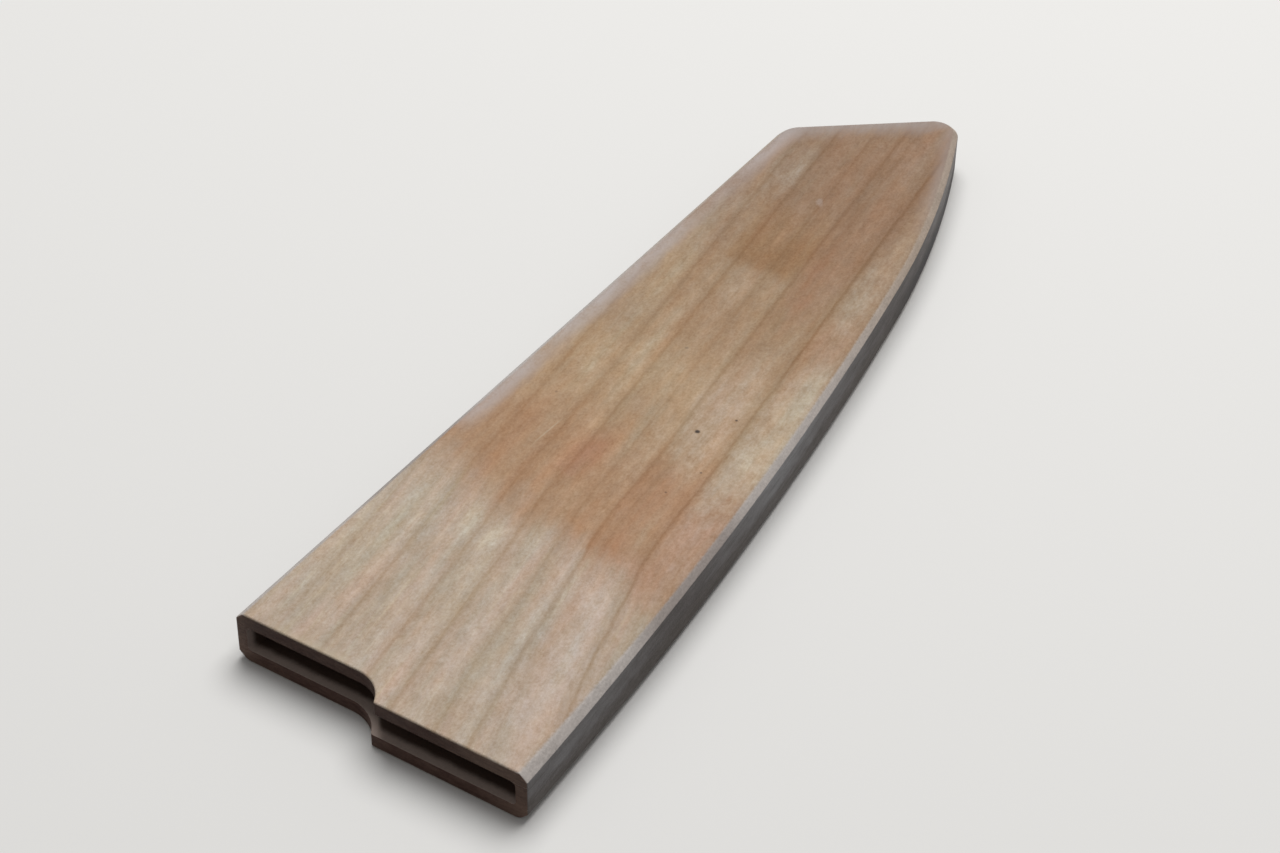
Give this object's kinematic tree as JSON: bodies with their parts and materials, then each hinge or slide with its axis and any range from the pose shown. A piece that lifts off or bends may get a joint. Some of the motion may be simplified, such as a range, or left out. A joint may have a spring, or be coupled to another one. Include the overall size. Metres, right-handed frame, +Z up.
{
  "type": "knife blade guard",
  "caption": "Flat wooden blade guard for a clipped-point kitchen knife: two face panels on a thin strip core, with a stepped open mouth and a blade slot.",
  "frame": {"origin": "under the middle of the guard's box, on the surface that it lies on", "axes": "+Y from the mouth to the tip, +X from the spine side to the edge side, +Z up through the layers"},
  "size_m": [0.056, 0.1856, 0.0095],
  "materials": {
    "panel_wood": "satin, sanded and lightly oiled",
    "core_wood": "matte, sanded",
    "magnet": "bright nickel plate"
  },
  "bodies": {
    "root": {"front_panel": "panel_wood", "back_panel": "panel_wood", "spine_strip": "core_wood", "edge_strip": "core_wood", "clip_strip": "core_wood", "front_heel_magnet": "magnet", "front_tip_magnet": "magnet", "back_heel_magnet": "magnet", "back_tip_magnet": "magnet"}
  },
  "joints": []
}
